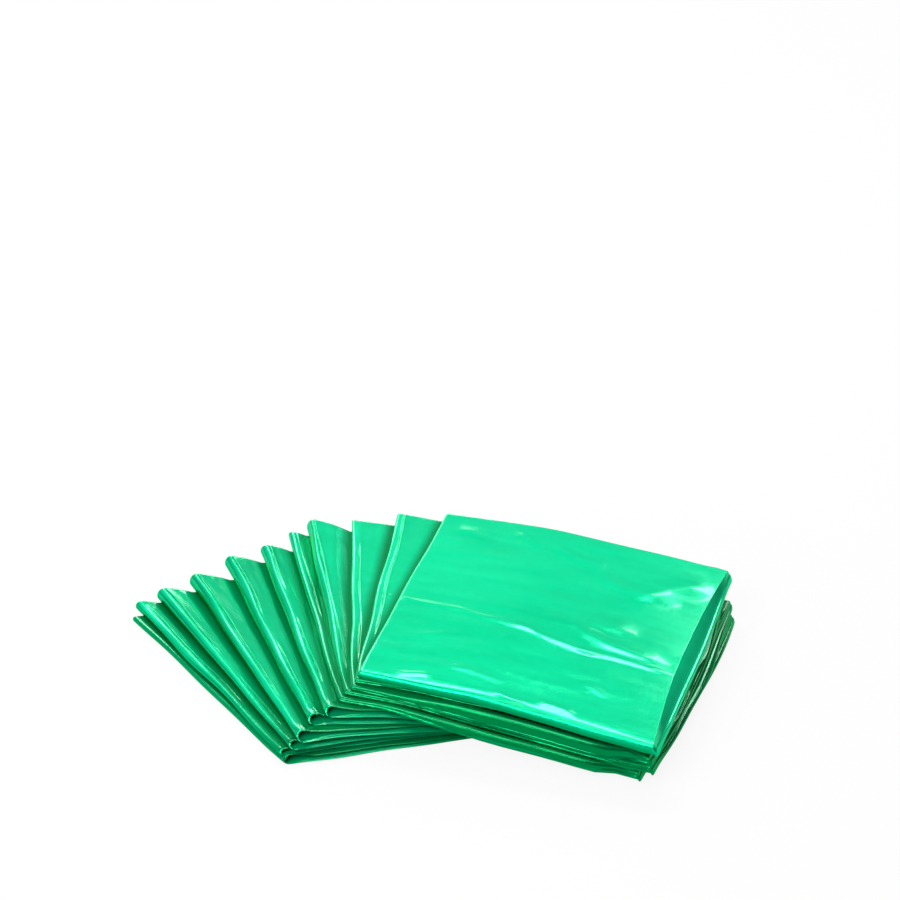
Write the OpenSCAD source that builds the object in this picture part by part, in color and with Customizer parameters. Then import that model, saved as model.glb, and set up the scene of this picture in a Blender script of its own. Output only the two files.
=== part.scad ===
// A fan of folded bin bags: a pile of square folded packs of thin film.
// Each pack is one bag, folded flat and then doubled over a soft rounded fold at its left.
// The packs share one pivot corner, and their folds are turned out one by one like a hand of cards.
// The top pack lies square to X and Y. The fan opens to the left and the pile stands to the right.

/* [Folded bag] */
// Width of a folded bag along its front edge, mm
folded_w = 284; // [240:4:328]
// Depth of a folded bag along its fold, mm
folded_d = 284; // [240:4:328]
// Height that each bag adds to the pile at the pivot, mm
pack_t = 6; // [5:0.25:8]
// Height of the top bag at the pivot, where nothing presses it flat, mm
top_t = 9; // [7:0.5:14]
// Rise of the middle of the top bag above its edges, mm
crown = 2.5; // [0:0.5:6]

/* [Fold] */
// Depth of the rounded nose of a fold, mm
nose_r = 4.5; // [3:0.5:7]
// Thickness of the film layers that wrap round a fold, mm
fold_wall = 1.4; // [1:0.1:2]
// Distance over which the two halves close up behind a fold, mm
fold_reach = 24; // [18:1:28]
// Depth of the rounding at an edge that isn't folded, mm
lip_r = 2.4; // [1:0.2:4]
// Width of the sloping side at the right of the upper bags, mm
flank_w = 10; // [6:1:14]
// Slit left between the two halves of a folded bag, mm
slit = 0.2; // [0.1:0.05:0.4]
// Clearance between one bag and the next, mm
bag_gap = 0.3; // [0.2:0.05:0.5]

/* [Pile] */
// Distance from the pivot at which the bottom bags start to thin out to the right, mm
bend_x = 30; // [29:1:40]
// Distance from the pivot at which they thin out more slowly, mm
settle_x = 110; // [90:5:130]
// Share of their height that the bottom bags still have there
settle_share = 0.6; // [0.4:0.05:0.8]
// Distance past a bag's width at which the bottom bags would thin out to nothing, mm
thin_over = 36; // [28:4:80]
// Growth of the upper bags' height over the same stretch, as a share
grow = 0.5; // [0:0.05:0.8]
// Height of the swelling of an uncovered fold, as a share of the width that shows
swell = 0.3; // [0:0.02:0.4]

/* [Hidden] */

// One row for each bag, from the bottom of the pile to the top.
// First its front left corner from the pivot in x and y, mm.
// Then the turns of its fold and of its front edge, degrees anticlockwise from above.
// Then where its right edge ends in x: past bend_x for a lower bag, and past its front right
// corner for an upper bag, mm. Then that edge's share of the depth, and the share of swelling.
LAYOUT = [
    [-46, -67, 51.0, 30.5,  6, 0.89, 1.0],
    [-52, -62, 49.5, 30.0,  8, 0.87, 1.0],
    [-44, -59, 46.5, 29.0, 10, 0.89, 1.0],
    [-38, -54, 41.0, 27.0, 14, 0.90, 1.0],
    [-34, -35, 36.0, 21.0, 46, 0.87, 1.0],
    [-21, -25, 32.0, 17.0, 84, 0.87, 1.0],
    [-16,  -6, 28.5, -0.5, 26, 1.00, 1.0],
    [-11,  -3, 26.0, -1.0, 18, 1.03, 1.0],
    [ -5,  -2, 18.0, -1.5,  8, 1.02, 0.3],
    [ -3,   3,  9.5,  1.5,  7, 0.94, 0.3],
    [  0,   0,  0.0, -2.2,  2, 1.06, 0.0]
];
top_bag = len(LAYOUT) - 1;
lower_bags = 6;
thin_out = folded_w + thin_over;
film = [0.0, 0.72, 0.42];

// The four corners of a bag in plan: front left, back left, front right and back right.
function corner_fl(b) = [LAYOUT[b][0], LAYOUT[b][1]];
function corner_bl(b) = corner_fl(b) + folded_d * [-sin(LAYOUT[b][2]), cos(LAYOUT[b][2])];
function corner_fr(b) = corner_fl(b) + folded_w * [cos(LAYOUT[b][3]), sin(LAYOUT[b][3])];
function corner_br(b) =
    let (from = corner_fr(b))
    let (x = LAYOUT[b][4] + (is_closed(b) ? from[0] : bend_x))
    [x, from[1] + sqrt(pow(LAYOUT[b][5] * folded_d, 2) - pow(x - from[0], 2))];
function is_closed(b) = b >= lower_bags;
function blend(p, q, share) = p + share * (q - p);
function cross_z(p, q) = p[0] * q[1] - p[1] * q[0];

// The level between two bags: flat up to bend_x. From there the bottom bags thin out,
// faster up to settle_x than behind it, and the upper bags open up a little.
function along(x, from, to) = max(0, min(1, (x - from) / (to - from)));
function fall(x) = blend(1, settle_share, along(x, bend_x, settle_x))
    - settle_share * along(x, settle_x, thin_out);
function open_up(x) = 1 + grow * along(x, bend_x, settle_x);
function level(k, x) = pack_t * (min(k, lower_bags) * fall(x) + max(0, k - lower_bags) * open_up(x));
function under(b, x) = (b == 0) ? 0 : level(b, x) + bag_gap / 2;
function over(b, x) = level(b + 1, x) - bag_gap / 2 + ((b == top_bag) ? top_t - pack_t : 0);

// The sections of a bag run from its fold to its right edge, at these distances from its front.
// An upper bag is closed by a second fold at its front, so its slit starts behind that nose.
function front_steps(b) = is_closed(b) ?
    [0, 0.12 * nose_r, 0.45 * nose_r, nose_r, nose_r + fold_wall] : [0, 0.35 * lip_r, lip_r];
// One section of a lower bag meets the line at settle_x just where its right edge crosses it.
function crossing(b) = (corner_br(b)[0] >= settle_x) ? 0.5 :
    (corner_fr(b)[0] - settle_x) / (corner_fr(b)[0] - corner_br(b)[0]);
function middle_steps(b) = let (c = crossing(b)) is_closed(b) ?
    [0.3 * c, 0.65 * c, c, blend(c, 1, 0.35), blend(c, 1, 0.65), blend(c, 1, 0.87)] :
    [0.5 * c, c, blend(c, 1, 0.35), blend(c, 1, 0.65), blend(c, 1, 0.87)];
function sections(b) = concat(
    front_steps(b),
    folded_d * middle_steps(b),
    [folded_d - lip_r, folded_d - 0.35 * lip_r, folded_d]
);
function edge_share(d, r) = sqrt(max(0.08, 1 - pow(max(0, 1 - d / r), 2)));

// The width of a bag that shows beside the bag on top of it, along a section.
function shows(b, a, dir) = (b == top_bag) ? 0 :
    let (to = corner_bl(b + 1) - corner_fl(b + 1))
    cross_z(corner_fl(b + 1) - a, to) / cross_z(dir, to) - 2;

// The centre line of a section: distance from the fold, height, normal and half thickness.
// It runs along the lower half, round the nose of the fold and back along the upper half.
function centre_line(b, d) =
    let (v = d / folded_d)
    let (a = blend(corner_fl(b), corner_bl(b), v))
    let (c = blend(corner_fr(b), corner_br(b), v))
    let (run = norm(c - a))
    let (dir = (c - a) / run)
    let (swollen = max(nose_r + 2, shows(b, a, dir)))
    let (reach = max(fold_reach, swollen + 4))
    let (bend = (bend_x - a[0]) / dir[0])
    let (settle = max(bend + 0.1, min((settle_x - a[0]) / dir[0], run - lip_r - 0.1)))
    let (height = LAYOUT[b][6] * swell * max(0, swollen - 12))
    let (side = is_closed(b) ? flank_w * blend(0.3, 1, sin(180 * v)) : lip_r)
    let (mids = (b == top_bag) ? [0.6 * run, 0.82 * run] : [])
    let (steps = concat(
        [nose_r, blend(nose_r, swollen, 0.3), blend(nose_r, swollen, 0.65), swollen, reach],
        [bend, settle], mids, [run - side, run - 0.4 * side, run]))
    let (n = len(steps))
    let (lows = [for (u = steps) under(b, a[0] + u * dir[0])])
    let (thin = [for (u = steps)
        is_closed(b) ? 1 - 0.8 * pow(max(0, 1 - (run - u) / side), 1.5) : 1])
    let (thick = [for (i = [0 : n - 1]) thin[i] * (over(b, a[0] + steps[i] * dir[0]) - lows[i])])
    let (rise = [for (u = steps) height * sin(180 * pow(min(1, u / swollen), 0.6))
        + ((b == top_bag) ? crown * sin(180 * min(1, u / run)) * sin(180 * v) : 0)])
    let (wall = [for (i = [0 : n - 1]) blend(min(fold_wall, 0.35 * thick[i]),
        (thick[i] - slit) / 2, min(1, (steps[i] - nose_r) / (reach - nose_r)))])
    let (half = [for (i = [0 : n - 1]) wall[i] / 2
        * (is_closed(b) ? 1 : edge_share(run - steps[i], lip_r) * edge_share(d, lip_r))
        * edge_share(folded_d - d, lip_r)])
    let (nose_z = (thick[0] + rise[0]) / 2)
    let (nose_a = nose_r - wall[0] / 2)
    let (nose_h = nose_z - wall[0] / 2)
    concat(
        [for (i = [n - 1 : -1 : 0]) [steps[i], lows[i] + wall[i] / 2, 0, -1, half[i]]],
        [for (t = [-50, 0, 50]) [nose_r - nose_a * cos(t), lows[0] + nose_z + nose_h * sin(t),
            -nose_h * cos(t) / norm([nose_h * cos(t), nose_a * sin(t)]),
            nose_a * sin(t) / norm([nose_h * cos(t), nose_a * sin(t)]), half[0]]],
        [for (i = [0 : n - 1])
            [steps[i], lows[i] + thick[i] + rise[i] - wall[i] / 2, 0, 1, half[i]]]
    );

// One side of a section in space: the outer side is 1 and the inner side is -1.
// Behind the front nose of a closed bag its sections have their full height.
function in_space(b, d, u, z) =
    let (v = d / folded_d)
    let (a = blend(corner_fl(b), corner_bl(b), v))
    let (c = blend(corner_fr(b), corner_br(b), v))
    let (p = a + u * (c - a) / norm(c - a))
    [p[0], p[1], z];
function outline(b, d, side) =
    let (line = centre_line(b, d))
    let (n = len(line))
    let (share = is_closed(b) ? edge_share(d, nose_r) : 1)
    [for (i = [0 : n - 1])
        let (p = line[i], q = line[n - 1 - i])
        let (mid = (p[1] + q[1] + side * (p[3] + q[3]) * p[4]) / 2)
        in_space(b, d, p[0] + side * p[2] * p[4], blend(mid, p[1] + side * p[3] * p[4], share))];

// All the points of every bag, and the middle of the pile's footprint.
OUTER = [for (b = [0 : top_bag]) [for (d = sections(b)) outline(b, d, 1)]];
INNER = [for (b = [0 : top_bag]) [for (d = sections(b)) outline(b, d, -1)]];
all_x = [for (b = OUTER) for (s = b) for (p = s) p[0]];
all_y = [for (b = OUTER) for (s = b) for (p = s) p[1]];
middle = [(min(all_x) + max(all_x)) / 2, (min(all_y) + max(all_y)) / 2, 0];

// Two triangles for the patch between points p and q of one section and the same of the next.
function patch(p, q, next) = [[p, q + next, q], [p, p + next, q + next]];
// The triangles that fill a section between its lower points and its upper points.
function fill(first, n) = [for (i = [0 : (n - 3) / 2])
    let (p = first + i, q = first + n - 1 - i)
    each (q - p > 2) ? [[p, q - 1, q], [p, p + 1, q - 1]] : [[p, p + 1, q]]];
function flip(faces) = [for (f = faces) [f[0], f[2], f[1]]];

// A folded bag: one strip of film layers that runs out, turns over the nose and comes back.
// The slit between its halves is open at the back and at the right, and at the front of an open bag.
module folded_bag(b) {
    n = len(OUTER[b][0]);
    last = len(OUTER[b]) - 1;
    start = is_closed(b) ? len(front_steps(b)) - 1 : 0;
    inner = (last + 1) * n;
    points = [for (s = concat(OUTER[b], INNER[b])) for (p = s) p - middle];
    skin = [for (j = [0 : last - 1]) for (i = [0 : n - 2])
        each patch(j * n + i, j * n + i + 1, n)];
    lining = flip([for (j = [start : last - 1]) for (i = [0 : n - 2])
        each patch(inner + j * n + i, inner + j * n + i + 1, n)]);
    lower_lip = [for (j = [start : last - 1]) let (p = j * n) each patch(inner + p, p, n)];
    upper_lip = [for (j = [start : last - 1]) let (p = j * n + n - 1) each patch(p, inner + p, n)];
    upper_end = start * n - 1;
    lower_end = upper_end + 1 - n;
    slit_ends = [
        start * n, inner + start * n, inner + start * n + n - 1, start * n + n - 1
    ];
    closed_side = is_closed(b) ? concat(
        [for (j = [0 : start - 2]) each patch(j * n + n - 1, j * n, n)],
        [[upper_end, slit_ends[0], lower_end]],
        [for (i = [1 : 3]) [upper_end, slit_ends[i], slit_ends[i - 1]]]) : [];
    back_end = [for (i = [0 : n - 2]) let (p = last * n + i)
        each [[p, inner + p, inner + p + 1], [p, inner + p + 1, p + 1]]];
    open_front = [for (i = [0 : n - 2]) each [[i, inner + i + 1, inner + i], [i, i + 1, inner + i + 1]]];
    slit_wall = flip(fill(inner + start * n, n));
    front_end = is_closed(b) ? concat(fill(0, n), slit_wall) : open_front;
    polyhedron(
        points = points,
        faces = concat(skin, lining, lower_lip, upper_lip, closed_side, back_end, front_end),
        convexity = 8
    );
}

module folded_bag_01() {
    color(film) folded_bag(top_bag);
}

module folded_bag_02() {
    color(film) folded_bag(top_bag - 1);
}

module folded_bag_03() {
    color(film) folded_bag(top_bag - 2);
}

module folded_bag_04() {
    color(film) folded_bag(top_bag - 3);
}

module folded_bag_05() {
    color(film) folded_bag(top_bag - 4);
}

module folded_bag_06() {
    color(film) folded_bag(top_bag - 5);
}

module folded_bag_07() {
    color(film) folded_bag(top_bag - 6);
}

module folded_bag_08() {
    color(film) folded_bag(top_bag - 7);
}

module folded_bag_09() {
    color(film) folded_bag(top_bag - 8);
}

module folded_bag_10() {
    color(film) folded_bag(top_bag - 9);
}

module folded_bag_11() {
    color(film) folded_bag(top_bag - 10);
}

folded_bag_01();
folded_bag_02();
folded_bag_03();
folded_bag_04();
folded_bag_05();
folded_bag_06();
folded_bag_07();
folded_bag_08();
folded_bag_09();
folded_bag_10();
folded_bag_11();
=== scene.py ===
# %% [markdown]
# # A fan of folded bin bags
# Eleven bags of thin green film lie here, each folded to a flat square pack and doubled over a soft
# fold. The packs share one corner, and their folds are turned out one by one like a hand of cards.
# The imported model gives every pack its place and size. This script lays a finer skin of film over
# each pack, with the creases, open mouths and loose edges that the plain solids leave out.
# Lengths in the tables are in millimetres. Blender works in metres, and MM turns one into the other.

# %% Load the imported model
import math
from collections import namedtuple
from types import SimpleNamespace

import bpy
import mathutils
import numpy as np
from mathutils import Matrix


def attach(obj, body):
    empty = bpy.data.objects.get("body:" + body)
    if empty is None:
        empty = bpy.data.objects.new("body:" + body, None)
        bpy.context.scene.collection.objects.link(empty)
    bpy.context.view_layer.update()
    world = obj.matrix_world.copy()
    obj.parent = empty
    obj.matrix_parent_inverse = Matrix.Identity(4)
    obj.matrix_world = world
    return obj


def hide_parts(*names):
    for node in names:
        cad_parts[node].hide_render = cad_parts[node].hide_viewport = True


MM = 0.001
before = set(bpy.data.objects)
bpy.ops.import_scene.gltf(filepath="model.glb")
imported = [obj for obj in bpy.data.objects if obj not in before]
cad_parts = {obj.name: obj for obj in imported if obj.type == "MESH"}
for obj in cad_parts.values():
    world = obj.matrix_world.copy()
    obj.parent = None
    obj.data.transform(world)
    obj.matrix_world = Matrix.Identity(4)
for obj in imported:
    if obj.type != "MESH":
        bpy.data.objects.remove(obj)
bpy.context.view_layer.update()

# %% [markdown]
# ## Camera
# The camera comes first, so that every later choice can be judged through it. A short lens close by
# would spread the near corner. A long lens from above, a little to the right, keeps the square packs
# nearly free of perspective, so their edges stay parallel as they should.

# %% Camera
LENS, SENSOR_WIDTH = 126, 36
CAMERA_PLACE = (0.7448, -2.3265, 1.7337)
CAMERA_TURN = (math.radians(58.6), 0, math.radians(16.8))

camera_data = bpy.data.cameras.new("camera")
camera_data.lens = LENS
camera_data.sensor_width = SENSOR_WIDTH
camera = bpy.data.objects.new("camera", camera_data)
camera.location = CAMERA_PLACE
camera.rotation_euler = CAMERA_TURN
bpy.context.scene.collection.objects.link(camera)
bpy.context.scene.camera = camera
bpy.context.scene.view_settings.view_transform = "Standard"
print("camera at", tuple(round(v, 3) for v in camera.location))

# %% [markdown]
# ## Where each pack lies
# On the real pile every pack starts near the same front left corner and is turned a little further
# than the one on top of it. The packs could be placed by eye, but then the film would miss the
# solids. So this table repeats the part's own layout, and the film lands on the solids by itself.
# x and y are the front left corner, counted from the pivot of the fan. fold_turn and front_turn are
# the turns of the fold and of the front edge in degrees. edge says where the right edge ends at the
# back, share is its length as a share of a fold, and swell how far the fold fills with air.

# %% Layout of the packs, from the bottom of the pile to the top
Pack = namedtuple("Pack", "x y fold_turn front_turn edge share swell")
LAYOUT = [Pack(*row) for row in (
    (-46, -67, 51.0, 30.5, 6, 0.89, 1.0),
    (-52, -62, 49.5, 30.0, 8, 0.87, 1.0),
    (-44, -59, 46.5, 29.0, 10, 0.89, 1.0),
    (-38, -54, 41.0, 27.0, 14, 0.90, 1.0),
    (-34, -35, 36.0, 21.0, 46, 0.87, 1.0),
    (-21, -25, 32.0, 17.0, 84, 0.87, 1.0),
    (-16, -6, 28.5, -0.5, 26, 1.00, 1.0),
    (-11, -3, 26.0, -1.0, 18, 1.03, 1.0),
    (-5, -2, 18.0, -1.5, 8, 1.02, 0.0),
    (-3, 3, 9.5, 1.5, 7, 0.94, 0.0),
    (0, 0, 0.0, -2.2, 2, 1.06, 0.0),
)]
LOWER_PACKS, TOP = 6, 10       # packs 0 to 5 are the lower ones, pack 10 is the top bag
MIDDLE = np.array([13.24, 111.7])  # middle of the whole pile, seen from the pivot
FOLDED = 284.0                 # length of a fold, and of a front edge
BEND = 30.0                    # where the film starts to bend down, to the right of the pivot


def turned(length, degrees, across):
    """A step of that length along a front edge (across) or along a fold."""
    a = math.radians(degrees)
    return np.array([math.cos(a), math.sin(a)] if across else [-math.sin(a), math.cos(a)]) * length


def corners(b):
    """Front left, back left, front right and back right corners of a pack, seen from above."""
    pack = LAYOUT[b]
    front_left = np.array([pack.x, pack.y], float)
    back_left = front_left + turned(FOLDED, pack.fold_turn, False)
    front_right = front_left + turned(FOLDED, pack.front_turn, True)
    edge_x = pack.edge + (front_right[0] if b >= LOWER_PACKS else BEND)
    rise = math.sqrt((pack.share * FOLDED) ** 2 - (edge_x - front_right[0]) ** 2)
    return front_left, back_left, front_right, np.array([edge_x, front_right[1] + rise])


print("fold of the lowest pack starts at", corners(0)[0], "and ends at", corners(0)[1].round(1))
print("right edge of the top pack ends at x =", corners(TOP)[3][0].round(1))

# %% [markdown]
# ## Levels in the pile
# Six lower packs thin out to the right, because their folds lie under the left of the pile. The five
# upper packs hang over them and open up a little. The solids bend in straight facets here. Bending
# finished sheets with a lattice would be slow to steer, so the height between two packs is a plain
# rule of x, and averaging it over a short stretch gives the soft bend of real film.

# %% Heights between the packs
PACK, TOP_PACK = 6.0, 9.0      # height of a pack at its fold, and of the top bag
GAP, FLOOR_GAP = 0.3, 0.15     # air between two packs, and under the lowest one
SETTLE, THIN_OUT = 110.0, 320.0  # where the film has settled, and where the lower packs end
SETTLE_SHARE, GROW = 0.6, 0.5  # what is left of the lower packs there, and how far the upper ones open
# half the stretch that is averaged, the points on it, and how much less the outer ones count
ROUNDING, SAMPLES, FADE = 26.0, 9, 0.8


def along(x, start, end):
    """From 0 at the start to 1 at the end."""
    return np.clip((x - start) / (end - start), 0, 1)


def sharp_level(k, x):
    """Height of the space under pack k with the straight facets of the solids."""
    fall = 1 - (1 - SETTLE_SHARE) * along(x, BEND, SETTLE) - SETTLE_SHARE * along(x, SETTLE, THIN_OUT)
    upper = max(0, k - LOWER_PACKS) * (1 + GROW * along(x, BEND, SETTLE))
    return PACK * (min(k, LOWER_PACKS) * fall + upper)


def level(k, x):
    """The same height with its facets rounded."""
    steps = np.linspace(-1, 1, SAMPLES)
    weights = 1 - np.abs(steps) * FADE
    return sum(w * sharp_level(k, x + ROUNDING * s) for s, w in zip(steps, weights)) / weights.sum()


def under(b, x):
    """Lowest height of a pack at x."""
    return np.full_like(x, FLOOR_GAP) if b == 0 else level(b, x) + GAP / 2


def over(b, x):
    """Highest height of a flat pack at x."""
    return level(b + 1, x) - GAP / 2 + (TOP_PACK - PACK if b == TOP else 0)


print("top of the pile at the fold and at the right:", over(TOP, np.array([0.0, 280.0])).round(1), "mm")

# %% [markdown]
# ## Soft unevenness
# Thin film is never quite straight or flat. A displacement texture could roughen it, but its bumps
# tend to look alike in all directions. A few long sine waves with seeded directions give an
# unevenness that is smooth, always the same, and easy to stretch along the pull of the film.

# %% Waves for edges and surfaces
SEEDS = {"ends": 40, "lips": 60, "fold": 80, "right edge": 120, "streaks": 200, "fine streaks": 230,
         "groove place": 260, "groove depth": 280, "flank": 300, "front groove": 340}


def waves(p, q, seed, length_p, length_q, count=7):
    """A smooth field between about -1 and 1 over p and q, with waves of about those lengths."""
    rng = np.random.default_rng(seed)
    total = 0.0
    for _ in range(count):
        a, b = rng.uniform(0.35, 1.3, 2) * rng.choice([-1, 1], 2)
        total = total + np.sin(2 * np.pi * (p * a / length_p + q * b / length_q) + rng.uniform(0, 6.28))
    return total / math.sqrt(count)


def edge_waves(p, name, b, length):
    """Waves along one direction, with a seed for that use and that pack."""
    return waves(p, 0.0, SEEDS[name] + b, length, length)


def smooth(t):
    """From 0 to 1 with soft ends."""
    t = np.clip(t, 0, 1)
    return t * t * (3 - 2 * t)


print("waves at three points:", waves(np.array([0.0, 40.0, 90.0]), 0.0, 1, 60, 60).round(2))

# %% [markdown]
# ## From a grid to a sheet of film
# A grid primitive is the natural start for film: it has even rows and columns and a flat UV map.
# Extruding or bending it by hand would kink the folds and lose the even rows, so each vertex of the
# grid is sent to its place on the folded line instead. Rows run along the fold and columns run
# around it. What follows, closing, turning faces out and thickening, is done with operators.

# %% Helpers that fold a grid and finish it
def folded_grid(name, places):
    """A grid primitive whose vertices go to places, an array of rows by columns by xyz in mm."""
    rows, columns_here = places.shape[:2]
    bpy.ops.object.select_all(action="DESELECT")
    bpy.ops.mesh.primitive_grid_add(x_subdivisions=columns_here - 1, y_subdivisions=rows - 1, size=1)
    sheet = bpy.context.object
    sheet.name = sheet.data.name = name
    flat = (places - np.append(MIDDLE, 0)) * MM
    sheet.data.vertices.foreach_set("co", flat.astype(np.float32).ravel())
    sheet.data.update()
    return sheet


def select_only(piece):
    """Deselects everything else, because an operator acts on all that is selected."""
    bpy.ops.object.select_all(action="DESELECT")
    piece.select_set(True)
    bpy.context.view_layer.objects.active = piece


def apply(piece, kind, **settings):
    """Adds a modifier to a piece with those settings and applies it."""
    select_only(piece)
    modifier = piece.modifiers.new(kind.lower(), kind)
    for key, value in settings.items():
        setattr(modifier, key, value)
    bpy.ops.object.modifier_apply(modifier=modifier.name)


def in_edit_mode(piece, step):
    """Selects all of a piece in edit mode and runs the step on it."""
    select_only(piece)
    bpy.ops.object.mode_set(mode="EDIT")
    bpy.ops.mesh.select_all(action="SELECT")
    step()
    bpy.ops.object.mode_set(mode="OBJECT")


print("helpers ready")

# %% [markdown]
# ## The line around a pack
# One section of a pack is a line that runs in along its lower half, turns over the nose of the fold
# and runs back along its upper half. Even steps all round would waste faces on film that nobody
# sees. So close steps are kept for what shows: the nose, the leaf of film beside it and the flank
# at the right edge. What lies hidden under the next pack gets wide steps.

# %% Columns around a pack
NOSE = 4.5                     # how far the nose of a fold reaches in front of its leaf
NOSE_ANGLES = np.radians(np.linspace(-85, 85, 17))
BESIDE_NOSE = 1.6              # an angle past the nose, in radians, for the columns on the halves
NEAR_FOLD = np.array([0, 0.5, 1, 1.5, 2, 2.5, 3.1, 3.7, 4.4, 5.2, 6.2, 7.4, 8.8, 10.4, 12.2])
NEAR_LEAF = np.linspace(14.2, 96, 40)
NEAR_TOP = np.linspace(14, 250, 128)
FLANK_STEPS = np.array([
    1.5, 1.25, 1.08, 1.02, 1.0, 0.97, 0.92, 0.85, 0.77, 0.69, 0.61, 0.53,
    0.45, 0.38, 0.31, 0.25, 0.2, 0.16, 0.12, 0.085, 0.055, 0.03, 0.012, 0])


def columns(b):
    """The columns of a section, from the lower right edge round the fold to the upper right edge.

    kind says how value counts: near in mm behind the nose, far as a share of what is left, side as
    a share of the flank from the edge inwards. The nose has its angle instead. half is -1 on the
    lower half and 1 on the upper one, and about is the rough distance from the fold in mm."""
    near = np.concatenate([NEAR_FOLD, NEAR_LEAF if b < TOP else NEAR_TOP])
    far = np.linspace(0, 1, 11 if b < TOP else 4)[1:]
    side = FLANK_STEPS if b >= LOWER_PACKS else FLANK_STEPS[:0]
    value = np.concatenate([near, far, side])
    kind = np.array(["near"] * len(near) + ["far"] * len(far) + ["side"] * len(side))
    about = np.where(kind == "near", value, np.where(kind == "far", 100 + 180 * value, 280))
    nose = NOSE_ANGLES
    return SimpleNamespace(
        near_end=near[-1],
        value=np.concatenate([value[::-1], 0 * nose, value]),
        kind=np.concatenate([kind[::-1], ["nose"] * len(nose), kind]),
        about=np.concatenate([about[::-1], 0 * nose, about]),
        angle=np.concatenate([0 * value - BESIDE_NOSE, nose, 0 * value + BESIDE_NOSE]),
        half=np.concatenate([0 * value - 1, np.sin(nose), 0 * value + 1]))


print("columns of a lower, an upper and the top pack:", [len(columns(b).value) for b in (0, 6, TOP)])

# %% Rows along a pack
LIP = 2.4                      # how far the film rounds off at a cut edge
BOXY, SQUARE = 2 / 2.6, 2 / 3.2  # how square the front fold and the nose turn


def along_fold(b):
    """Distances from the front of a pack: close at both ends, even between them."""
    if b >= LOWER_PACKS:
        front = NOSE * (1 - np.cos(np.radians(np.linspace(0, 84, 15))) ** BOXY)
    else:
        front = LIP * np.array([0, 0.08, 0.24, 0.48, 0.75, 1.0])
    behind_front = front[-1] + np.array([0.8, 1.7, 2.8, 4.1])
    even = np.linspace(front[-1] + 5.8, FOLDED - LIP - 1.2, 114 if b < TOP else 146)
    return np.concatenate([front, behind_front, even, FOLDED - LIP * np.array([1.0, 0.6, 0.28, 0.08, 0])])


print("rows of a lower, an upper and the top pack:", [len(along_fold(b)) for b in (0, 6, TOP)])

# %% [markdown]
# ## Creases
# The bags were folded smaller before they lay here, so soft ridges cross them. On the top bag one
# long crease runs from the fold to the right edge, streaks run together towards the front right
# corner, and puckers lie at the back right. Cloth simulation would give creases, but not these ones.
# So each is a gentle ridge of known start, end, half width and height that fades at both ends.

# %% Creases: start, end, half width and height, in the part's own plan
TOP_CREASES = [
    (-70, 26, 52, 9, 3.5, 0.8), (30, 12, 128, 0, 4, 0.9),
    (100, 5, 196, -16, 4, 1.0), (160, -13, 262, -9, 3.5, 0.9),
    (150, 22, 250, 0, 8, 1.5), (120, 34, 215, 30, 11, 1.25),
    (190, 97, 266, 132, 13, 1.9), (150, 112, 240, 96, 10, 1.3),
    (100, 146, 160, 124, 7, 1.0), (8, 150, 40, 130, 5, 0.9), (60, 150, 96, 140, 5, 0.6),
    (20, -99, 56, -99, 3.5, 1.0), (112, -102, 146, -109, 3.5, 1.0), (152, -96, 192, -108, 4, 1.0),
    (222, -120, 262, -131, 4, 1.1), (60, -80, 120, -84, 4, 0.7),
    (20, -34, 66, -28, 4, 0.5), (186, -60, 214, -66, 4, 0.5),
]
SIDE_CREASES = {
    8: [(-69, -2, -39, 14, 1.2, 0.7), (-61, -13, -42, -4, 1.0, 0.5)],
    9: [(-43, 50, -25, 49, 1.1, 0.7), (-43, 30, -20, 27, 1.2, 0.8),
        (-40, 118, -28, 116, 0.9, 0.5), (-42, 92, -32, 91, 0.9, 0.5)],
}


def creases(plan, rows):
    """Sum of the ridges in the rows, at the points of a plan."""
    x, y = plan[..., 0] - MIDDLE[0], plan[..., 1] - MIDDLE[1]
    total = np.zeros_like(x)
    for x0, y0, x1, y1, width, height in rows:
        length = math.hypot(x1 - x0, y1 - y0)
        t = ((x - x0) * (x1 - x0) + (y - y0) * (y1 - y0)) / length ** 2
        off = ((x - x0) * (y1 - y0) - (y - y0) * (x1 - x0)) / length
        bow = width * 0.5 * np.sin(np.pi * np.clip(t, 0, 1) * 1.5 + x0)
        ridge = height * np.exp(-((off - bow) / width) ** 2)
        total += ridge * smooth((t + 0.05) / 0.3) * smooth((1.05 - t) / 0.3)
    return total


print("creases on the top bag:", len(TOP_CREASES), "and below it:", sum(map(len, SIDE_CREASES.values())))

# %% [markdown]
# ## The outline of a pack
# Seen from above a pack is a square with four worn edges, and no two packs of the pile are cut off
# the same. A single noise for all edges would look like a torn sheet. Instead small tables hold what
# each pack does: how far the upper lip of an open front lies back, how far a front is stepped or
# swept, the notch at its right corner, the grooves between the layers of its front fold, and how its
# right edge bows outwards. Gentle waves are added to that.

# %% Tables for the edges, by pack
FRONT_RECESS = {0: 2.0, 1: 4.0, 2: 5.5, 3: 5.5, 4: 6.0, 5: 5.0}  # upper lip behind the lower one
STEPPED = {10: 1.2, 9: -1.3, 8: -0.5, 6: -1.0}  # whole front set back
SWEPT = {7: 3.5}               # front set back to the right
NOTCH = {6: (24, 6), 7: (10, 3), 8: (22, 8), 9: (8, 4)}  # width and depth at the right corner
GROOVES = {                    # place on the front fold from -1 to 1, and depth; below 0 a ridge
    10: [(-0.7, -0.5)], 9: [(0.0, 0.8)], 8: [(-0.15, 1.0), (-0.7, 0.6)],
    7: [(0.2, 0.8)], 6: [(0.15, 1.1), (-0.5, 0.6)],
}
GROOVE_WIDTH = 0.11
# how far the right edge bows out at the front, in the middle and at the back
BOW = {10: (1, 4, 1.5), 9: (0, 3, -6), 8: (0, 7, -5), 7: (7, 10, -1), 6: (0, 9, 1)}
CORNER = 1.6                   # rounding of the corners


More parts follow.
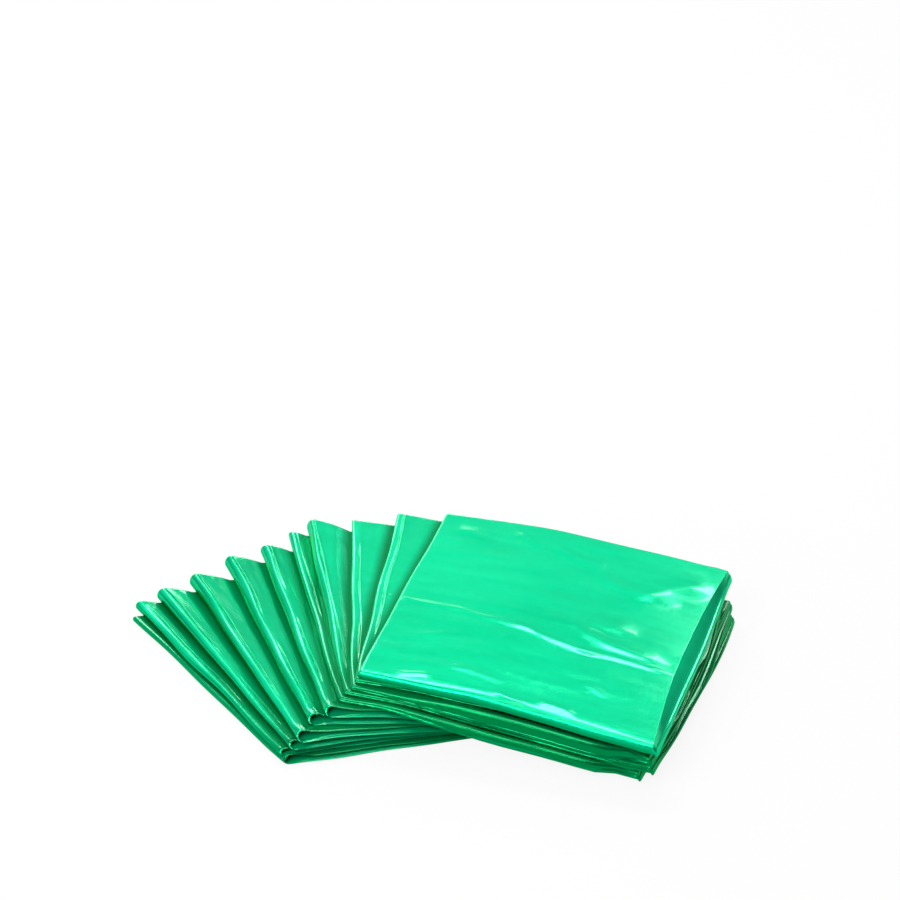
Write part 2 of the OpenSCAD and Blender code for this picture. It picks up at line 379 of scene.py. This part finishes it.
def round_to_nothing(distance, radius, power=2.0):
    """From 0 at an edge to 1 at a radius from it, as a round or squarer turn."""
    return np.clip(1 - (1 - np.clip(distance / radius, 0, 1)) ** power, 0, 1) ** (1 / power)


def front_set_back(b, column, height):
    """How far each column starts behind the straight front, and how far the cut ends wander."""
    wander = (0.9 if b < LOWER_PACKS else 0.4) * edge_waves(column.about, "ends", b, 90)
    back = 0.9 + wander
    if b < LOWER_PACKS:
        lips = FRONT_RECESS[b] * (1 + 0.3 * edge_waves(column.about, "lips", b, 120))
        back = back + lips * smooth((column.half + 1) / 2)
    back = back + SWEPT.get(b, 0) * smooth((column.about - 20) / 60)
    back = back + STEPPED.get(b, 0)
    cut, depth = NOTCH.get(b, (1, 0))
    back = back + depth * smooth((column.about - (276 - cut)) / 7)
    fades_out = np.where(column.kind == "side", smooth(column.value / FLANK_STEPS[0]), 1)
    for place, cut_in in GROOVES.get(b, []):
        middle = place + 0.08 * edge_waves(column.about, "front groove", b, 90)
        back = back + cut_in * fades_out * np.exp(-((height - middle) / GROOVE_WIDTH) ** 2)
    return back, wander


print("deepest notch:", max(depth for _, depth in NOTCH.values()), "mm")

# %% [markdown]
# ## The sections of a pack
# Every section starts at a point a on the fold and ends at a point c on the right edge. Placing its
# columns along the straight way from a to c, and not in the world's x and y, keeps the faces square
# to the fold, however far that pack is turned.

# %% Lines from the fold to the right edge
FLANK, TOP_FLANK = 11.0, 15.0  # width of the flank that slopes down at the right
TURN_LENGTH = 35               # distance from the front over which the nose gets squarer
# how round the nose is at the very front, and how fast an end's set-back fades along the fold
FRONT_ROUND, END_POWER = 1.1, 6


def pack_lines(b):
    """The sections of a pack seen from above, with all that the heights need to know of them."""
    front_left, back_left, front_right, back_right = corners(b)
    column, d = columns(b), along_fold(b)[:, None]
    side = 0.0 * d
    if b >= LOWER_PACKS:
        side = (TOP_FLANK if b == TOP else FLANK) * (0.3 + 0.7 * np.sin(np.pi * d / FOLDED))
    front_turn = round_to_nothing(d, NOSE, 2 / BOXY)
    height = front_turn * column.half
    back, wander = front_set_back(b, column, height)
    d_here = d + back * (1 - d / FOLDED) ** END_POWER - (0.8 + wander) * (d / FOLDED) ** END_POWER
    v = d_here[..., None] / FOLDED
    a = front_left + v * (back_left - front_left)
    c = front_right + v * (back_right - front_right)
    way = (c - a) / np.linalg.norm(c - a, axis=-1, keepdims=True)
    near_end = np.clip(np.minimum(d, FOLDED - d) / CORNER, 0, 1)
    corner = CORNER * (1 - np.sqrt(1 - (1 - near_end) ** 2))
    a = a + way * (0.1 + corner + 0.6 * edge_waves(d_here, "fold", b, 120))[..., None]
    at_front, at_middle, at_back = BOW.get(b, (0, 0, 0))
    part = np.clip(v[..., 0], 0, 1)
    bow = at_front * (1 - part) ** 2 + at_middle * np.sin(np.pi * part ** 1.2) ** 0.8 + at_back * part ** 4
    edge = (0.3 if b == TOP else 0.9) * edge_waves(d_here, "right edge", b, 140)
    c = c - way * (0.5 + corner - bow + edge)[..., None]
    run = np.linalg.norm(c - a, axis=-1)
    last = NOSE + column.near_end
    u = np.where(column.kind == "near", NOSE + column.value, 0)
    u = np.where(column.kind == "far", last + column.value * (run - FLANK_STEPS[0] * side - last), u)
    u = np.where(column.kind == "side", run - column.value * side, u)
    square = FRONT_ROUND - (FRONT_ROUND - SQUARE) * smooth(d / TURN_LENGTH)
    in_nose = column.kind == "nose"
    u = np.where(in_nose, NOSE * (1 - np.clip(np.cos(column.angle), 0, 1) ** square), u)
    return SimpleNamespace(
        plan=a + u[..., None] * way, a=a, way=way, run=run, u=u, d=d, d_here=d_here, side=side,
        half=column.half, angle=column.angle, in_nose=in_nose, square=square,
        front_turn=front_turn, height=height)


print("run of the top pack from fold to edge:", pack_lines(TOP).run.mean().round(1), "mm")

# %% [markdown]
# ## The swelling beside a fold
# Air stays in a fold that no other pack presses flat, so the leaf of film that shows swells like a
# long cushion: it goes up at once over the nose and falls slowly to the next fold. At an open front
# it swells into a mouth. Inflating a cloth would do that too, but every leaf would swell alike.
# A profile with a height for each pack keeps the leaves as different as they are.

# %% Leaves that swell
SWELL = 0.24                   # height of the swelling for each mm of leaf that shows
FLAT_LEAF = 6                  # a leaf narrower than this doesn't swell
# height of each open mouth, and how far it reaches in from the front
MOUTH = {0: (4.6, 4.5), 1: (1.6, 3.5), 2: (2.4, 5.0), 3: (2.8, 12.0), 4: (2.8, 9.0), 5: (3.0, 12.0)}
FRONT_SWELL = {8: (5.2, 30, 15), 6: (3.0, 10, 10)}  # height, start from the fold, depth


def hump(u, leaf):
    """Profile of a swollen leaf: up at once over the nose, then a slow fall that steepens."""
    up = np.sin(np.pi / 2 * np.clip((u + 2.0) / (NOSE + 4.0), 0, 1))
    return up * (1 - np.clip((leaf - 0.1) / 0.9, 0, 1) ** 1.9)


def leaf_width(b, lines):
    """Width of a pack that shows beside the pack on top of it."""
    if b == TOP:
        return np.full(lines.a.shape[:2], NOSE + 2)
    front_left, back_left = corners(b + 1)[:2]
    fold, gap, way = back_left - front_left, front_left - lines.a, lines.way
    across = gap[..., 0] * fold[1] - gap[..., 1] * fold[0]
    shows = across / (way[..., 0] * fold[1] - way[..., 1] * fold[0]) - 2
    return np.maximum(NOSE + 2, shows)


def swelling(b, lines, shown, leaf):
    """How far the upper half rises above a flat pack, and how much of that is a mouth, 0 to 1."""
    u, d = lines.u, lines.d
    rise = LAYOUT[b].swell * SWELL * np.maximum(0, shown - FLAT_LEAF) * hump(u, leaf)
    most, deep = MOUTH.get(b, (0, 1))
    mouth = np.exp(-(d / deep) ** 2) * smooth(1 - (u - 5) / 30)
    rise = rise + most * mouth * np.sin(np.pi / 2 * np.clip((u + 1) / (NOSE + 3), 0, 1))
    if b in FRONT_SWELL:
        most, start, deep = FRONT_SWELL[b]
        before_edge = smooth((lines.run - u - 6) / 30)
        rise = rise + most * smooth((u - start) / 110) * before_edge * (1 - smooth((d - 3) / deep))
    return rise, mouth


print("hump at five places across a leaf:", hump(40 * np.linspace(0, 1, 5), np.linspace(0, 1, 5)).round(2))

# %% [markdown]
# ## What only film does
# A fold of several layers is not one smooth roll: the outer layers turn a little before the inner
# ones, which leaves a fine groove beside the nose. Leaves carry long streaks along the fold. The top
# bag has a low crown, its creases, and a crest that rolls down softly to its front edge, where it
# catches the light. Bump in the material could hint at all this, but not in the outline or from the
# side, so it is moved into the mesh.

# %% Relief of the leaves below the top bag
ENDS_FRONT, ENDS_BACK = 14, 10  # relief fades over this length towards the ends


def relief_of_leaf(b, lines, leaf, width):
    """Streaks along a leaf and the groove between the rolls of its fold, in mm."""
    u, d = lines.u, lines.d_here
    ends = smooth(d / ENDS_FRONT) * smooth((FOLDED - d) / ENDS_BACK)
    inside = smooth(leaf / 0.12) * smooth((1 - leaf) / 0.3) * np.clip(width / 30, 0.2, 1)
    streaks = 0.5 * waves(u, d, SEEDS["streaks"] + b, 26, 210)
    streaks = streaks + 0.25 * waves(u, d, SEEDS["fine streaks"] + b, 11, 90)
    streaks = streaks * (1 if b < 8 else 0.45)
    start = NOSE + 3.0 + 0.8 * edge_waves(d, "groove place", b, 120)
    depth = 0.75 * smooth(0.75 + 0.6 * edge_waves(d, "groove depth", b, 150)) * smooth((width - 6) / 8)
    groove = 0.6 * np.exp(-((u - start - 2.0) / 1.1) ** 2) - np.exp(-((u - start) / 0.75) ** 2)
    ridges = creases(lines.plan, SIDE_CREASES.get(b, []))
    return ends * inside * streaks + groove * depth + ends * inside * ridges


print("packs with creases at the side:", sorted(SIDE_CREASES))

# %% Relief of the top bag
CROWN = 2.5                    # how much higher the middle of the top bag lies
CREST_DROP = 3.3               # how far the crest rolls down at the front


def relief_of_top(lines):
    """Crown, soft waves, creases and the rolled front crest of the top bag, in mm."""
    u, d, run = lines.u, lines.d_here, lines.run
    across, v = np.clip(u / run, 0, 1), np.clip(d / FOLDED, 0, 1)
    crown = CROWN * np.sin(np.pi * across) * np.sin(np.pi * v)
    inside = smooth(d / ENDS_FRONT) * smooth((FOLDED - d) / ENDS_BACK)
    inside = inside * smooth(u / 8) * smooth((run - u) / 26)
    x, y = lines.plan[..., 0] - MIDDLE[0], lines.plan[..., 1] - MIDDLE[1]
    soft = 0.17 * waves(x, y, 7, 190, 46) + 0.08 * waves(x, y, 8, 110, 17)
    bulge = 0.5 + 0.5 * np.sin(np.pi * across ** 1.1) ** 1.3 * (1 + 0.2 * waves(x, 0.0, 9, 110, 110))
    droop = -CREST_DROP * bulge * np.clip(1 - d / (6 + 7 * bulge), 0, 1) ** 2
    return crown + inside * (soft + creases(lines.plan, TOP_CREASES)) + droop * smooth((run - u) / 8)


print("crest of the top bag rolls down by", CREST_DROP, "mm")

# %% [markdown]
# ## The right edges
# At the right the layers of an upper pack are pressed into a thin hem. The flank slopes down to it in
# shallow rolls, and the hem ends in a small bead where the film turns back. A bevel would round the
# edge evenly and lose the rolls, so the thickness itself follows that profile.

# %% Flank and hem of a closed pack
HEM = 0.28                     # thickness of the hem as a share of the pack
HEM_REST = 0.6                 # thickness left at the edge, where the underside of the hem lifts
ROLLS, ROLL_HEIGHT = 1.4, 0.08  # rolls across a flank, and their height as a share of the pack
# height of the bead on the top bag and on the others, its place from the edge and its half width
BEAD_TOP, BEAD, BEAD_PLACE, BEAD_WIDTH = 0.9, 0.5, 1.5, 1.0
EDGE_ROUND = 0.8               # rounding of the very edge


def hemmed_edge(b, lines, low, thick):
    """Lower height and thickness of a closed pack, with its flank, its hem and the bead on it."""
    from_edge, d = lines.run - lines.u, lines.d
    e = from_edge / lines.side
    slope = HEM + (1 - HEM) * np.clip(e, 0, 1)
    lift = (HEM * thick - HEM_REST) * (1 - np.clip(e / 0.5, 0, 1)) ** 1.5
    lift = lift * smooth(d / 25) * smooth((FOLDED - d) / 20)
    if b < TOP:
        roll = ROLLS * e + 0.25 * edge_waves(d, "flank", b, 90)
        in_flank = smooth((e - 0.2) / 0.2)
        slope = slope + ROLL_HEIGHT * np.sin(2 * np.pi * roll) * in_flank * smooth((1.2 - e) / 0.3)
    bead = (BEAD_TOP if b == TOP else BEAD) * np.exp(-((from_edge - BEAD_PLACE) / BEAD_WIDTH) ** 2)
    thick = (thick * slope + bead - lift) * round_to_nothing(from_edge, EDGE_ROUND)
    return low + lift, thick


print("share of a pack's thickness that its hem keeps:", HEM)

# %% Layers of an open pack
WALL, LEAST_WALL = 1.4, 0.25   # pressed layers at the nose, and the least film at an edge


def edge_share(distance, radius):
    """Share of the thickness that is left at a distance from a cut edge."""
    return np.sqrt(np.maximum(0.08, 1 - np.maximum(0, 1 - distance / radius) ** 2))


def layers(lines, thick, shown, mouth):
    """Thickness of the pressed layers in an open pack, and how far they draw in at the edges."""
    u, d = lines.u, lines.d
    reach = np.maximum(24, shown + 4)
    wall = np.minimum(WALL, 0.35 * thick)
    wall = wall + ((thick - GAP) / 2 - wall) * np.clip((u - NOSE) / (reach - NOSE), 0, 1)
    ends = np.minimum(edge_share(d, LIP), edge_share(FOLDED - d, LIP)) * edge_share(lines.run - u, LIP)
    inset = wall / 2 * (1 - ends)
    thinner_lip = (1 - 0.45 * np.exp(-d / 9) * (lines.half > 0)) * (1 - 0.4 * mouth)
    return np.maximum(LEAST_WALL, wall * ends * thinner_lip), inset


print("share left at 0, 1 and 3 mm from a cut edge:", edge_share(np.array([0.0, 1.0, 3.0]), LIP).round(2))

# %% [markdown]
# ## Where shade is painted into the colour
# The colour is painted darker where shade falls: in the valley beside the next fold, on the leaves,
# on the flanks of the right edges and under each front turn. Ambient occlusion would darken every
# gap alike. The script knows where each vertex lies, so it writes this painted shade on the mesh as
# a named attribute, and the material reads it there.

# %% Painted shade in the valleys
VALLEY_WIDTH = 8               # the valley beside the next fold
# painted shade of a leaf, a right edge and a front turn, from 0 to 1, by the pack's place in the pile
LEAF_PAINTED_SHADE = {"lower": 0.36, "upper": 0.15, "top": 0}
EDGE_PAINTED_SHADE = {"upper": 0.8, "top": 0.3}
TURN_PAINTED_SHADE = {"lower": 0.75, "upper": 0.75, "top": 0.4}


def painted_shade_share(b, lines, shown):
    """Painted shade from 0 to 1: by the next fold, on a leaf, on a flank and under a front turn."""
    u, from_edge = lines.u, lines.run - lines.u
    place = "top" if b == TOP else "upper" if b >= LOWER_PACKS else "lower"
    depth = np.exp(-(np.maximum(0, shown - u) / VALLEY_WIDTH) ** 2) if b < TOP else 0 * u
    if b >= LOWER_PACKS:
        edge_on = smooth((from_edge - 3) / 3) * smooth((1.0 - from_edge / lines.side) / 0.5)
        depth = np.maximum(depth, EDGE_PAINTED_SHADE[place] * edge_on)
    depth = np.maximum(depth, LEAF_PAINTED_SHADE[place] * smooth((u - NOSE) / 6))
    shade_under_turn = TURN_PAINTED_SHADE[place] * smooth((0.3 - lines.height) / 0.5)
    return np.maximum(depth * (lines.half > 0), shade_under_turn)


def store_painted_shade(pack, depth):
    """Keeps the painted shade on the mesh, for the film's colour."""
    layer = pack.data.attributes.new("painted_shade", "FLOAT", "POINT")
    layer.data.foreach_set("value", depth.astype(np.float32).ravel())


print("attribute for the depth: valley")

# %% [markdown]
# ## Every vertex of a pack
# The rules come together here. The lower half lies on the pack below, the upper half follows the
# swelling and the relief, and the nose joins them in a turn. On a closed pack both halves also close
# over the front, so they are squeezed together to a seam at both ends.

# %% Places of all vertices
SEAM = 0.45                    # height of the seam as a share of the pack


def pack_places(b):
    """Places of a pack's film in mm (rows, columns, xyz), its painted shade and its layers."""
    lines = pack_lines(b)
    x = lines.plan[..., 0]
    low, thick = under(b, x), over(b, x) - under(b, x)
    shown = leaf_width(b, lines)
    leaf = np.clip(lines.u / shown, 0, 1)
    rise, mouth = swelling(b, lines, shown, leaf)
    relief = relief_of_top(lines) if b == TOP else relief_of_leaf(b, lines, leaf, shown)
    if b >= LOWER_PACKS:
        low, thick = hemmed_edge(b, lines, low, thick)
        squeeze, inset, wall = lines.front_turn * round_to_nothing(FOLDED - lines.d, LIP), 0.0, None
    else:
        wall, inset = layers(lines, thick, shown, mouth)
        squeeze = 1.0
    tall = thick + rise + relief * squeeze
    turn = np.abs(np.sin(lines.angle)) ** lines.square * np.sign(lines.half)
    z = np.where(lines.half > 0, low + tall - inset, low + inset)
    z = np.where(lines.in_nose, low + tall / 2 + (tall / 2 - inset) * turn, z)
    if b >= LOWER_PACKS:
        seam = low + thick * SEAM
        z = seam + (z - seam) * squeeze
    return np.dstack([lines.plan, z]), painted_shade_share(b, lines, shown), wall


lowest_places, _, lowest_layers = pack_places(0)
print("rows and columns of the lowest pack:", lowest_places.shape[:2])
print("its layers are", lowest_layers.min().round(2), "to", lowest_layers.max().round(2), "mm thick")

# %% [markdown]
# ## The six lower packs, open at the front
# Their fronts were never folded in, so each shows a mouth: an oval loop at the fold and two lips.
# Extruding the sheet would thicken it the same all over. Solidify with a vertex group adds the film
# layers on the inner side, thin in the loop and thicker where they lie pressed together.

# %% Open packs
MOST_FILM = 5.0                # thickness where the vertex group is 1


def face_out(piece):
    """Turns the faces of a sheet outwards, so that its upper half faces up."""
    normals = np.zeros(len(piece.data.polygons) * 3)
    piece.data.polygons.foreach_get("normal", normals)
    centres = np.zeros(len(piece.data.polygons) * 3)
    piece.data.polygons.foreach_get("center", centres)
    z, up = centres.reshape(-1, 3)[:, 2], normals.reshape(-1, 3)[:, 2]
    if (up * (z - z.mean())).sum() < 0:
        in_edit_mode(piece, bpy.ops.mesh.flip_normals)


def film_sheet(b):
    """The folded skin of a pack with its painted shade stored, and the thickness of its layers."""
    # depth here is the painted shade of each vertex
    places, depth, wall = pack_places(b)
    sheet = folded_grid(f"film_pack_{TOP + 1 - b:02d}", places)
    store_painted_shade(sheet, depth)
    face_out(sheet)
    return sheet, wall


def open_pack(b):
    """A lower pack: the skin with its layers added on the inner side."""
    pack, wall = film_sheet(b)
    group = pack.vertex_groups.new(name="film")
    for index, share in enumerate(wall.ravel() / MOST_FILM):
        group.add([index], float(share), "REPLACE")
    apply(pack, "SOLIDIFY", thickness=MOST_FILM * MM, offset=-1, vertex_group="film",
          use_quality_normals=True)
    return pack


packs = {b: open_pack(b) for b in range(LOWER_PACKS)}
print("faces in an open pack:", len(packs[0].data.polygons))

# %% [markdown]
# ## The five upper packs, closed at the front
# Their front edge is a second fold, so upper and lower film meet all round. Bridging the two rims
# would add a flat strip. The grid's outer rows and columns already lie on each other there, and
# merging them by distance closes the skin without one.

# %% Closed packs
MERGE = 2e-6                   # metres


def closed_pack(b):
    """An upper pack: the skin with its rims merged."""
    pack, _ = film_sheet(b)
    in_edit_mode(pack, lambda: bpy.ops.mesh.remove_doubles(threshold=MERGE))
    return pack


def open_edges(piece):
    """Counts the edges of a mesh that don't join exactly two faces."""
    edge_of_corner = np.zeros(len(piece.data.loops), int)
    piece.data.loops.foreach_get("edge_index", edge_of_corner)
    return int((np.bincount(edge_of_corner, minlength=len(piece.data.edges)) != 2).sum())


for b in range(LOWER_PACKS, TOP + 1):
    packs[b] = closed_pack(b)
print("faces of the top pack:", len(packs[TOP].data.polygons))
print("open edges of all packs:", [open_edges(packs[b]) for b in range(TOP + 1)])

# %% [markdown]
# ## Shader maths
# The film's finish needs a dozen small sums. Wiring Math nodes one by one hides what they do, so a
# small class lets them be written as ordinary expressions, and makes the nodes by itself.

# %% A small class that writes shader maths as expressions
class Socket:
    """An output of a node in a material, or with no socket only the tree to draw nodes in."""

    def __init__(self, tree, socket=None):
        self.tree, self.socket = tree, socket

    def node(self, kind, settings=None, **inputs):
        """Any node: its settings are set first, then the values or links of its sockets. An input
        is given by its name, or by its number as i0, i1 and so on."""
        made = self.tree.nodes.new(kind)
        for key, value in (settings or {}).items():
            setattr(made, key, value)
        for key, value in inputs.items():
            numbered = key[1:].isdigit()
            place = made.inputs[int(key[1:])] if numbered else made.inputs[key.replace("_", " ")]
            if isinstance(value, Socket):
                self.tree.links.new(value.socket, place)
            else:
                place.default_value = value
        return made

    def out(self, made, name=0):
        """One output of a node, ready for maths."""
        return Socket(self.tree, made.outputs[name])

    def maths(self, operation, a, b):
        """A Math node on two values."""
        return self.out(self.node("ShaderNodeMath", {"operation": operation}, i0=a, i1=b))

    def __add__(self, other): return self.maths("ADD", self, other)
    def __sub__(self, other): return self.maths("SUBTRACT", self, other)
    def __mul__(self, other): return self.maths("MULTIPLY", self, other)
    def __rsub__(self, other): return self.maths("SUBTRACT", other, self)
    __radd__, __rmul__ = __add__, __mul__

    def between(self, low, high):
        """From 0 at low to 1 at high."""
        return self.out(self.node("ShaderNodeMapRange", i0=self, i1=low, i2=high))

    def feed(self, shader, name):
        """Links this output to a socket of the shader."""
        self.tree.links.new(self.socket, shader.inputs[name])


print("shader expressions ready")

# %% [markdown]
# ## Film material
# The film is a glossy, slightly milky green polyethylene. One flat green with a clear coat would look
# like enamel. So two greens are mixed as painted light and shade: film that faces up gets the paler
# green as painted light, and walls and the painted shade attribute pull it to the deeper green as
# painted shade, with a random cloudy tone on top. Flat film carries white highlights from the coat,
# and walls seen edge-on shine in the film's own green, so the slope also sets how metallic and how
# coated it is, and roughness changes in long soft patches. The finest wrinkles are too small for the
# mesh, so they are bump. Patterns read Object coordinates, and the puckers across a fold read the
# sheet's own UV map.

# %% The green film
# the green of painted shade and the green of painted light
SHADED_GREEN, LIT_GREEN = (0.0, 0.22, 0.055, 1), (0.0, 0.88, 0.40, 1)
GREEN_GLOSS = (0.1, 1.0, 0.6, 1)
WRINKLE_STRENGTH, WRINKLE_HEIGHT = 0.16, 0.0012


def film_material():
    """The green film of all bags."""
    material = bpy.data.materials.new("gloss_film")
    material.use_nodes = True
    tree = material.node_tree
    shader = tree.nodes["Principled BSDF"]
    draw = Socket(tree)
    places = draw.node("ShaderNodeTexCoord")
    place, normal = draw.out(places, "Object"), draw.out(places, "Normal")
    strip = draw.out(draw.node("ShaderNodeUVMap"), "UV")

    def noise(vector, scale, detail, stretch=(1, 1, 1)):
        mapped = draw.out(draw.node("ShaderNodeMapping", i0=vector, i3=stretch))
        made = draw.node("ShaderNodeTexNoise", Vector=mapped, Scale=scale, Detail=detail)
        return draw.out(made, "Fac")

    clouds = noise(place, 9, 3, (0.6, 1.6, 1))
    streaks = noise(place, 26, 4, (0.5, 2.4, 1))
    mottle = noise(place, 120, 3)
    cloudy = (clouds * 0.55 + streaks * 0.3 + mottle * 0.15).between(0.34, 0.66)
    upward = draw.out(draw.node("ShaderNodeSeparateXYZ", Vector=normal), 2)
    painted_shade = draw.out(draw.node("ShaderNodeAttribute", {"attribute_name": "painted_shade"}), "Fac")
    # paler where the film faces up, darker by the attribute: painted light and painted shade, with a
    # random cloudy tone
    painted_light_and_tone = (0.75 * upward.between(-0.3, 0.95) + 0.25 * cloudy) * (1 - 0.95 * painted_shade)
    mixed = draw.node("ShaderNodeMix", {"data_type": "RGBA"}, i0=painted_light_and_tone, i6=SHADED_GREEN, i7=LIT_GREEN)
    draw.out(mixed, 2).feed(shader, "Base Color")
    (0.09 + 0.08 * streaks.between(0.3, 0.7) + 0.03 * mottle).feed(shader, "Roughness")
    (1.12 - 0.94 * upward.between(0.1, 0.98)).feed(shader, "Metallic")
    (0.55 * (upward.between(0.3, 1.0) - 0.3)).feed(shader, "Coat Weight")
    wrinkle = noise(strip, 14, 5, (3.0, 26, 1)) * 0.7 + noise(place, 240, 4, (1, 1.6, 1)) * 0.3
    bump = draw.node("ShaderNodeBump", Strength=WRINKLE_STRENGTH, Distance=WRINKLE_HEIGHT, Height=wrinkle)
    draw.out(bump).feed(shader, "Normal")
    shader.inputs["Specular IOR Level"].default_value = 0.5
    shader.inputs["Specular Tint"].default_value = GREEN_GLOSS
    shader.inputs["Coat Roughness"].default_value = 0.05
    return material


green_film = film_material()
print("nodes in the film:", len(green_film.node_tree.nodes))

# %% [markdown]
# ## Finishing the packs
# Smooth shading all over would smear the cut edges, and flat shading would show the rows. Smoothing
# by angle keeps the cuts crisp and the film soft. Each pack then rides on the one body, takes the
# place of its solid and gets the green film as its finish.

# %% Finish, smoothing and places in the model
SHARP = math.radians(55)       # an edge that turns more than this stays crisp
NAMES = {b: f"folded_bag_{TOP + 1 - b:02d}" for b in range(TOP + 1)}

for b, pack in packs.items():
    pack.data.materials.clear()
    pack.data.materials.append(green_film)
    select_only(pack)
    bpy.ops.object.shade_smooth_by_angle(angle=SHARP)
    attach(pack, "root")
    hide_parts(NAMES[b])
print("packs dressed:", len(packs))

# %% [markdown]
# ## Floor
# The bags lie on a plain white ground that fills the picture. More light would whiten it, but would
# bleach the film too. Instead, what the lens and the reflections see of the floor is mixed with a
# white of strength 1, and the rest is a pale matt surface, which keeps the bags' soft shadow.

# %% Floor
FLOOR_WIDTH, FLOOR_DROP = 24, 0.0004
WHITE_SHARE = 0.9


def floor_material():
    """A pale matt floor that the lens and the reflections see as nearly white."""
    material = bpy.data.materials.new("pale_floor")
    material.use_nodes = True
    tree = material.node_tree
    shader = tree.nodes["Principled BSDF"]
    shader.inputs["Base Color"].default_value = (0.80, 0.81, 0.80, 1)
    shader.inputs["Roughness"].default_value = 0.9
    shader.inputs["Specular IOR Level"].default_value = 0.1
    draw = Socket(tree)
    rays = draw.node("ShaderNodeLightPath")
    seen = draw.out(rays, "Is Camera Ray") + draw.out(rays, "Is Glossy Ray")
    seen = seen + draw.out(rays, "Is Transmission Ray")
    white = draw.node("ShaderNodeEmission", Color=(1, 1, 1, 1), Strength=1.0)
    mix = draw.node("ShaderNodeMixShader", i0=seen * WHITE_SHARE)
    tree.links.new(shader.outputs[0], mix.inputs[1])
    tree.links.new(white.outputs[0], mix.inputs[2])
    tree.links.new(mix.outputs[0], tree.nodes["Material Output"].inputs[0])
    return material


bpy.ops.object.select_all(action="DESELECT")
bpy.ops.mesh.primitive_plane_add(size=FLOOR_WIDTH, location=(0, 0, -FLOOR_DROP))
floor = bpy.context.object
floor.name = "floor"
floor.data.materials.append(floor_material())
print("floor", floor.dimensions[0], "metres wide")

# %% [markdown]
# ## Light
# Gloss shows what it mirrors, so a lamp is placed by which part of the film should mirror it. A
# bright even sky would be simpler, but it veils the green everywhere. Here two soft boxes hang above
# for the creases and the front crest, windows at the left and right and a low one at the back are
# meant for the folds and the right side, and two in front for the front turns. The back window is
# almost off, because the flat film mirrors it towards the camera. A dim even sky fills the shadows.

# %% Lamps and sky
LAMPS = {                      # place in metres, width and height, watts
    "overhead": ((-0.3, 0.9, 1.85), (1.4, 0.4), 21),
    "zenith": ((0.45, -0.2, 2.2), (1.2, 1.2), 10),
    "window_left": ((-1.35, 1.75, 1.35), (0.42, 0.9), 10),
    "window_back": ((-0.55, 2.35, 1.5), (1.5, 0.5), 0.2),
    "low_back": ((-0.95, 2.2, 0.52), (0.9, 0.3), 7),
    "window_right": ((0.62, 2.15, 1.4), (0.7, 0.5), 10),
    "front": ((-0.54, -1.44, 1.6), (1.6, 0.8), 25),
    "front_low": ((-0.7, -1.94, 0.75), (1.4, 0.4), 13),
}
LIT_POINT = mathutils.Vector((0.02, 0, 0.03))
SKY_COLOUR, SKY_STRENGTH = (0.96, 0.98, 1.0, 1), 0.1


def soft_box(name, place, size, watts):
    """A soft rectangular lamp at a place, turned towards the pile."""
    data = bpy.data.lights.new(name, "AREA")
    data.shape, data.size, data.size_y, data.energy = "RECTANGLE", size[0], size[1], watts
    lamp = bpy.data.objects.new(name, data)
    lamp.location = place
    lamp.rotation_euler = (lamp.location - LIT_POINT).to_track_quat("Z", "Y").to_euler()
    bpy.context.scene.collection.objects.link(lamp)


for name, (place, size, watts) in LAMPS.items():
    soft_box(name, place, size, watts)
world = bpy.data.worlds.new("sky")
bpy.context.scene.world = world
world.use_nodes = True
sky = world.node_tree.nodes["Background"]
sky.inputs["Color"].default_value = SKY_COLOUR
sky.inputs["Strength"].default_value = SKY_STRENGTH
print("lamps:", len(LAMPS))
